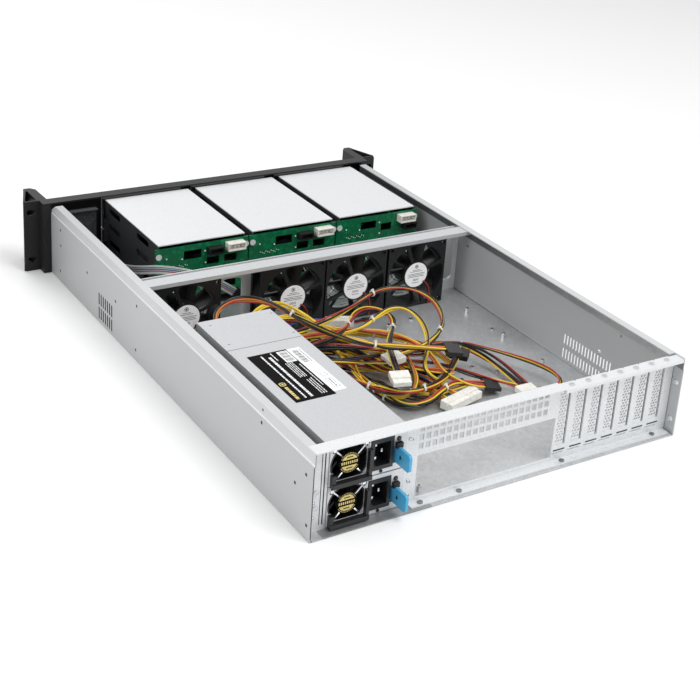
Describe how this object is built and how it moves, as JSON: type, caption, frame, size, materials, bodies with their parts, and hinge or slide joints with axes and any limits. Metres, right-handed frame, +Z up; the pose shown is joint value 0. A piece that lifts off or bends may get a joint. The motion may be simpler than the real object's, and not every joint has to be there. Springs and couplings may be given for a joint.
{
  "type": "barebone server",
  "caption": "Open two-unit rack server chassis with hot-swap drive trays, cooling fans, redundant power modules and a loose wiring harness.",
  "frame": {"origin": "middle of the whole object's footprint, on its underside", "axes": "+X to the right seen from the front, front with the handles towards -Y, +Z up"},
  "size_m": [0.4826, 0.691, 0.088],
  "materials": {
    "zinc_steel": "satin",
    "black_paint": "satin",
    "bright_lid": "satin",
    "green_board": "gloss",
    "white_plastic": "satin",
    "black_plastic": "satin",
    "blue_plastic": "satin",
    "post_steel": "satin",
    "wire_cover": "satin",
    "ribbon_cover": "satin"
  },
  "bodies": {
    "chassis": {"chassis_tray": "zinc_steel", "rear_panel": "zinc_steel", "slot_covers": "zinc_steel", "slot_retainer_bar": "zinc_steel", "front_panel": "black_paint", "rack_handle_right": "black_paint", "rack_handle_left": "black_paint", "cage_lids": "bright_lid", "backplane_power_sockets": "white_plastic", "backplane_data_sockets": "black_plastic", "drive_cage_1": "black_paint", "drive_cage_2": "black_paint", "drive_cage_3": "black_paint", "backplane_1": "green_board", "backplane_2": "green_board", "backplane_3": "green_board", "crossbar": "zinc_steel", "fan_bracket": "zinc_steel", "fan_frame_1": "black_plastic", "fan_frame_2": "black_plastic", "fan_frame_3": "black_plastic", "fan_frame_4": "black_plastic", "psu_housing": "zinc_steel", "front_io_board": "zinc_steel", "board_standoffs": "post_steel", "screws": "post_steel", "white_cable_plugs": "white_plastic", "black_cable_plugs": "black_plastic", "harness_trunk": "wire_cover", "harness_arch": "wire_cover", "harness_loop": "wire_cover", "harness_far": "wire_cover", "harness_knot": "wire_cover", "harness_floor": "wire_cover", "harness_sweep": "wire_cover", "ribbon_cable": "ribbon_cover"},
    "tray_1": {"drive_tray_1": "black_plastic"},
    "lever_1": {"tray_lever_1": "black_plastic"},
    "tray_2": {"drive_tray_2": "black_plastic"},
    "lever_2": {"tray_lever_2": "black_plastic"},
    "tray_3": {"drive_tray_3": "black_plastic"},
    "lever_3": {"tray_lever_3": "black_plastic"},
    "tray_4": {"drive_tray_4": "black_plastic"},
    "lever_4": {"tray_lever_4": "black_plastic"},
    "tray_5": {"drive_tray_5": "black_plastic"},
    "lever_5": {"tray_lever_5": "black_plastic"},
    "tray_6": {"drive_tray_6": "black_plastic"},
    "lever_6": {"tray_lever_6": "black_plastic"},
    "fan_1": {"fan_rotor_1": "black_plastic"},
    "fan_2": {"fan_rotor_2": "black_plastic"},
    "fan_3": {"fan_rotor_3": "black_plastic"},
    "fan_4": {"fan_rotor_4": "black_plastic"},
    "module_lower": {"psu_module_lower": "zinc_steel"},
    "module_fan_lower": {"psu_fan_rotor_lower": "black_plastic"},
    "latch_lower": {"psu_latch_lower": "blue_plastic"},
    "module_upper": {"psu_module_upper": "zinc_steel"},
    "module_fan_upper": {"psu_fan_rotor_upper": "black_plastic"},
    "latch_upper": {"psu_latch_upper": "blue_plastic"},
    "power_push": {"power_button": "black_plastic"},
    "reset_push": {"reset_button": "black_plastic"}
  },
  "joints": [
    {"name": "tray_slide_1", "type": "slide", "parent": "chassis", "child": "tray_1", "axis": [0, -1, 0], "range_m": [0, 0.14]},
    {"name": "lever_hinge_1", "type": "hinge", "parent": "tray_1", "child": "lever_1", "pos_m": [0.1384, -0.3034, 0.01542], "axis": [0, 0, 1], "range_deg": [0, 75]},
    {"name": "tray_slide_2", "type": "slide", "parent": "chassis", "child": "tray_2", "axis": [0, -1, 0], "range_m": [0, 0.14]},
    {"name": "lever_hinge_2", "type": "hinge", "parent": "tray_2", "child": "lever_2", "pos_m": [0.1384, -0.3034, 0.05572], "axis": [0, 0, 1], "range_deg": [0, 75]},
    {"name": "tray_slide_3", "type": "slide", "parent": "chassis", "child": "tray_3", "axis": [0, -1, 0], "range_m": [0, 0.14]},
    {"name": "lever_hinge_3", "type": "hinge", "parent": "tray_3", "child": "lever_3", "pos_m": [0.0214, -0.3034, 0.01542], "axis": [0, 0, 1], "range_deg": [0, 75]},
    {"name": "tray_slide_4", "type": "slide", "parent": "chassis", "child": "tray_4", "axis": [0, -1, 0], "range_m": [0, 0.14]},
    {"name": "lever_hinge_4", "type": "hinge", "parent": "tray_4", "child": "lever_4", "pos_m": [0.0214, -0.3034, 0.05572], "axis": [0, 0, 1], "range_deg": [0, 75]},
    {"name": "tray_slide_5", "type": "slide", "parent": "chassis", "child": "tray_5", "axis": [0, -1, 0], "range_m": [0, 0.14]},
    {"name": "lever_hinge_5", "type": "hinge", "parent": "tray_5", "child": "lever_5", "pos_m": [-0.0956, -0.3034, 0.01542], "axis": [0, 0, 1], "range_deg": [0, 75]},
    {"name": "tray_slide_6", "type": "slide", "parent": "chassis", "child": "tray_6", "axis": [0, -1, 0], "range_m": [0, 0.14]},
    {"name": "lever_hinge_6", "type": "hinge", "parent": "tray_6", "child": "lever_6", "pos_m": [-0.0956, -0.3034, 0.05572], "axis": [0, 0, 1], "range_deg": [0, 75]},
    {"name": "fan_spin_1", "type": "hinge", "parent": "chassis", "child": "fan_1", "pos_m": [0.159, -0.0445, 0.042], "axis": [0, 1, 0], "continuous": true},
    {"name": "fan_spin_2", "type": "hinge", "parent": "chassis", "child": "fan_2", "pos_m": [0.03, -0.0445, 0.042], "axis": [0, 1, 0], "continuous": true},
    {"name": "fan_spin_3", "type": "hinge", "parent": "chassis", "child": "fan_3", "pos_m": [-0.052, -0.0445, 0.042], "axis": [0, 1, 0], "continuous": true},
    {"name": "fan_spin_4", "type": "hinge", "parent": "chassis", "child": "fan_4", "pos_m": [-0.135, -0.0445, 0.042], "axis": [0, 1, 0], "continuous": true},
    {"name": "module_slide_lower", "type": "slide", "parent": "chassis", "child": "module_lower", "axis": [0, 1, 0], "range_m": [0, 0.18]},
    {"name": "module_fan_spin_lower", "type": "hinge", "parent": "module_lower", "child": "module_fan_lower", "pos_m": [0.1701, 0.31, 0.02195], "axis": [0, 1, 0], "continuous": true},
    {"name": "latch_hinge_lower", "type": "hinge", "parent": "module_lower", "child": "latch_lower", "pos_m": [0.1206, 0.3035, 0.0177], "axis": [0, 0, -1], "range_deg": [0, 5], "stiffness_Nm_per_rad": 0.6, "springref_deg": -2.86},
    {"name": "module_slide_upper", "type": "slide", "parent": "chassis", "child": "module_upper", "axis": [0, 1, 0], "range_m": [0, 0.18]},
    {"name": "module_fan_spin_upper", "type": "hinge", "parent": "module_upper", "child": "module_fan_upper", "pos_m": [0.1701, 0.31, 0.06285], "axis": [0, 1, 0], "continuous": true},
    {"name": "latch_hinge_upper", "type": "hinge", "parent": "module_upper", "child": "latch_upper", "pos_m": [0.1206, 0.3035, 0.0586], "axis": [0, 0, -1], "range_deg": [0, 5], "stiffness_Nm_per_rad": 0.6, "springref_deg": -2.86},
    {"name": "power_press", "type": "slide", "parent": "chassis", "child": "power_push", "axis": [0, 1, 0], "range_m": [0, 0.0015], "stiffness_N_per_m": 250, "springref_m": -0.001},
    {"name": "reset_press", "type": "slide", "parent": "chassis", "child": "reset_push", "axis": [0, 1, 0], "range_m": [0, 0.0015], "stiffness_N_per_m": 150, "springref_m": -0.001}
  ]
}
